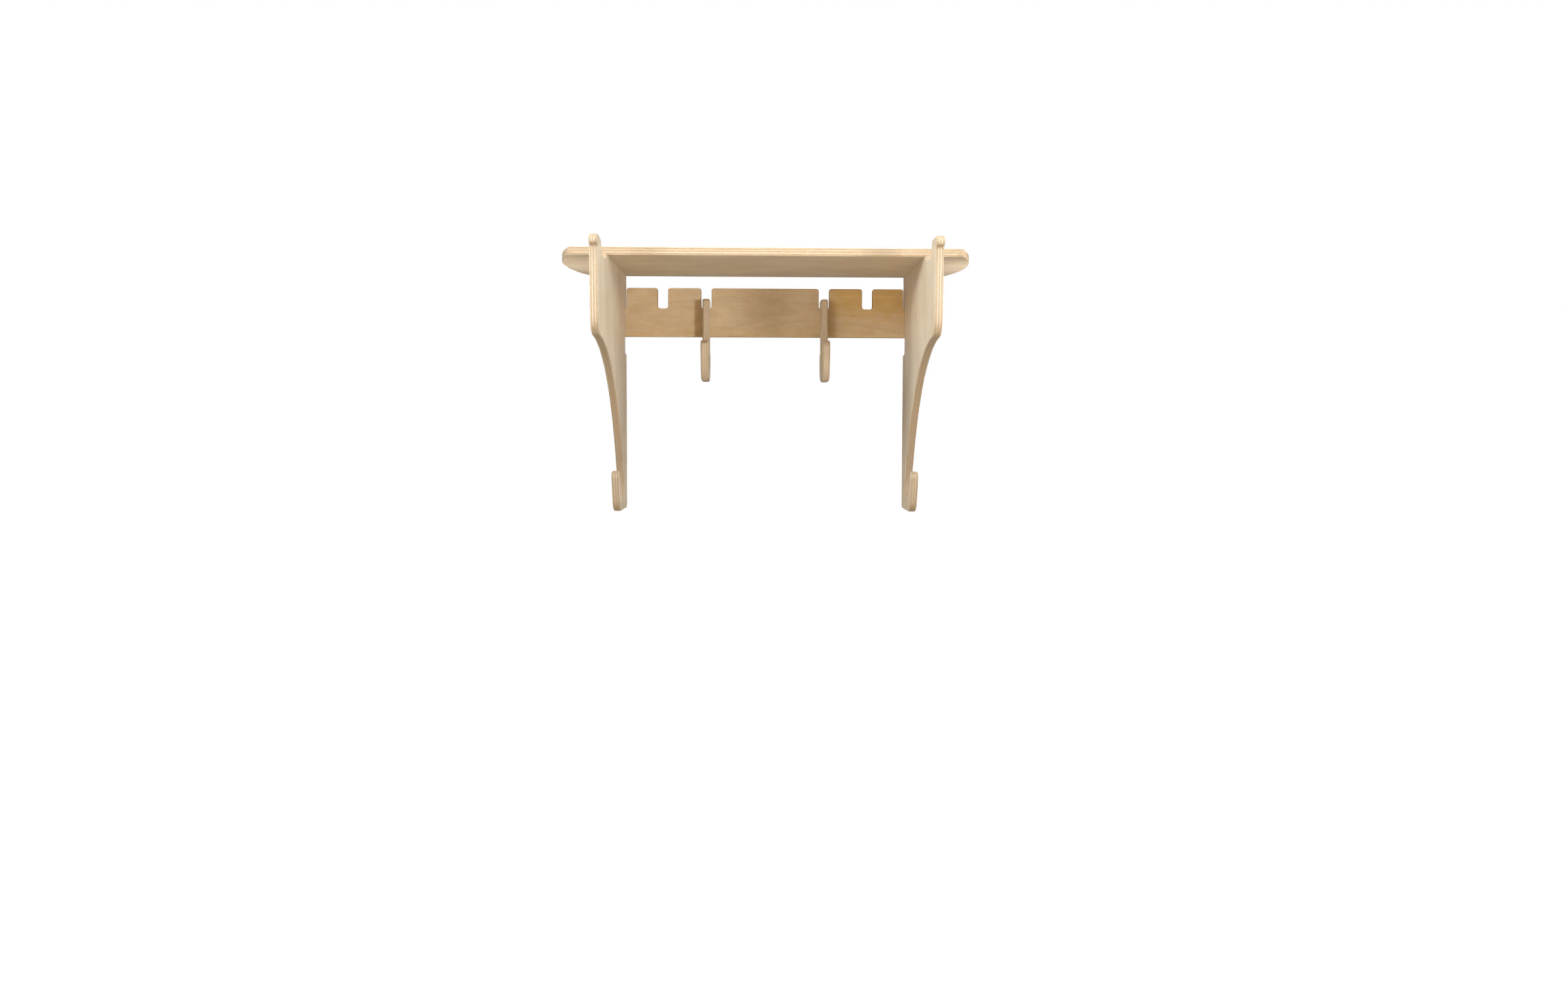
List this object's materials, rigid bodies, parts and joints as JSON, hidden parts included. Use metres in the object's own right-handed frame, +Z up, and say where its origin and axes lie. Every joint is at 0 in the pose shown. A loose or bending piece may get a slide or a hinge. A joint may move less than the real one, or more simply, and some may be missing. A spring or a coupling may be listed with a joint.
{
  "type": "bicycle wall rack",
  "caption": "Flat-pack birch plywood wall rack that cradles a bicycle by its top tube, with a shelf above and hooks for a bag and a helmet.",
  "frame": {"origin": "the wall's surface at the middle of the wall screws' pattern, level with the middle of the rail", "axes": "+X to the right as seen from the room, +Y into the wall, +Z up; the rack stands out from the wall along -Y"},
  "size_m": [0.4696, 0.3468, 0.299],
  "materials": {
    "birch_ply": "clear-coated birch plywood, satin, with bare layered edges",
    "birch_ply_rail": "clear-coated birch plywood of a warmer sheet, satin, with bare layered edges",
    "zinc_steel": "yellow-tinted zinc plating",
    "nickel_steel": "nickel plating"
  },
  "bodies": {
    "root": {"rail": "birch_ply_rail", "left_spacer": "birch_ply", "right_spacer": "birch_ply", "screw_left_top": "zinc_steel", "screw_left_bottom": "zinc_steel", "screw_right_top": "zinc_steel", "screw_right_bottom": "zinc_steel", "washer_left_top": "nickel_steel", "washer_left_bottom": "nickel_steel", "washer_right_top": "nickel_steel", "washer_right_bottom": "nickel_steel"},
    "rack": {"left_bracket": "birch_ply", "right_bracket": "birch_ply", "shelf": "birch_ply"},
    "hook_left": {"left_hook": "birch_ply"},
    "hook_right": {"right_hook": "birch_ply"}
  },
  "joints": [
    {"name": "rack_lift", "type": "slide", "parent": "root", "child": "rack", "axis": [0, 0, 1], "range_m": [0, 0.018]},
    {"name": "left_hook_lift", "type": "slide", "parent": "root", "child": "hook_left", "axis": [0, 0, 1], "range_m": [0, 0.018]},
    {"name": "right_hook_lift", "type": "slide", "parent": "root", "child": "hook_right", "axis": [0, 0, 1], "range_m": [0, 0.018]}
  ]
}
